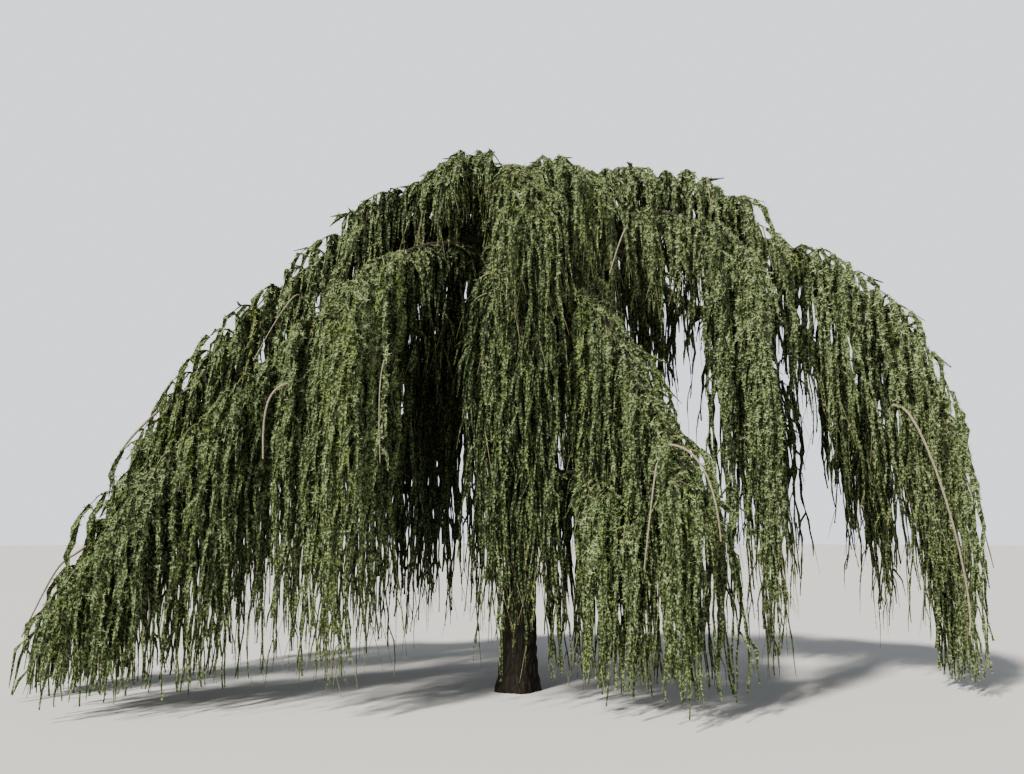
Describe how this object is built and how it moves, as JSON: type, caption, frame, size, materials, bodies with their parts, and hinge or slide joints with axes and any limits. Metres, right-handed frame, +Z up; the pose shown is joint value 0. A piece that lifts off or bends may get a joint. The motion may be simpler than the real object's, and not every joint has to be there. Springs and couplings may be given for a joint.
{
  "type": "weeping atlas cedar",
  "caption": "Weeping blue-green cedar tree with a short upright trunk, arching boughs and curtains of hanging needle shoots down to the ground.",
  "frame": {"origin": "middle of the trunk's flat cut at ground level", "axes": "+Z up the trunk, +X to the tree's right along its widest spread, -Y towards the viewer of its open side"},
  "size_m": [8.3454, 4.333, 5.0122],
  "materials": {
    "trunk_bark": "fissured grey-brown bark, matt",
    "bough_bark": "smooth grey-tan bark, matt",
    "needles": "blue-green to yellow-green needles, slightly waxy"
  },
  "bodies": {
    "root": {"back_left_bough": "bough_bark", "back_left_foliage": "needles", "back_left_top_bough": "bough_bark", "back_left_top_foliage": "needles", "back_middle_bough": "bough_bark", "back_middle_foliage": "needles", "back_right_bough": "bough_bark", "back_right_foliage": "needles", "back_right_top_bough": "bough_bark", "back_right_top_foliage": "needles", "crown_back_bough": "bough_bark", "crown_back_foliage": "needles", "crown_front_bough": "bough_bark", "crown_front_foliage": "needles", "crown_left_bough": "bough_bark", "crown_left_foliage": "needles", "crown_top_bough": "bough_bark", "crown_top_foliage": "needles", "front_centre_bough": "bough_bark", "front_centre_foliage": "needles", "front_low_bough": "bough_bark", "front_low_foliage": "needles", "front_right_bough": "bough_bark", "front_right_foliage": "needles", "left_back_bough": "bough_bark", "left_back_foliage": "needles", "left_front_bough": "bough_bark", "left_front_foliage": "needles", "left_inner_bough": "bough_bark", "left_inner_foliage": "needles", "left_outer_bough": "bough_bark", "left_outer_foliage": "needles", "left_shoulder_bough": "bough_bark", "left_shoulder_foliage": "needles", "right_back_bough": "bough_bark", "right_back_foliage": "needles", "right_column_bough": "bough_bark", "right_column_foliage": "needles", "right_far_back_bough": "bough_bark", "right_far_back_foliage": "needles", "right_outer_bough": "bough_bark", "right_outer_foliage": "needles", "right_top_bough": "bough_bark", "right_top_foliage": "needles", "trunk": "trunk_bark", "trunk_curtain_bough": "bough_bark", "trunk_curtain_foliage": "needles"}
  },
  "joints": []
}
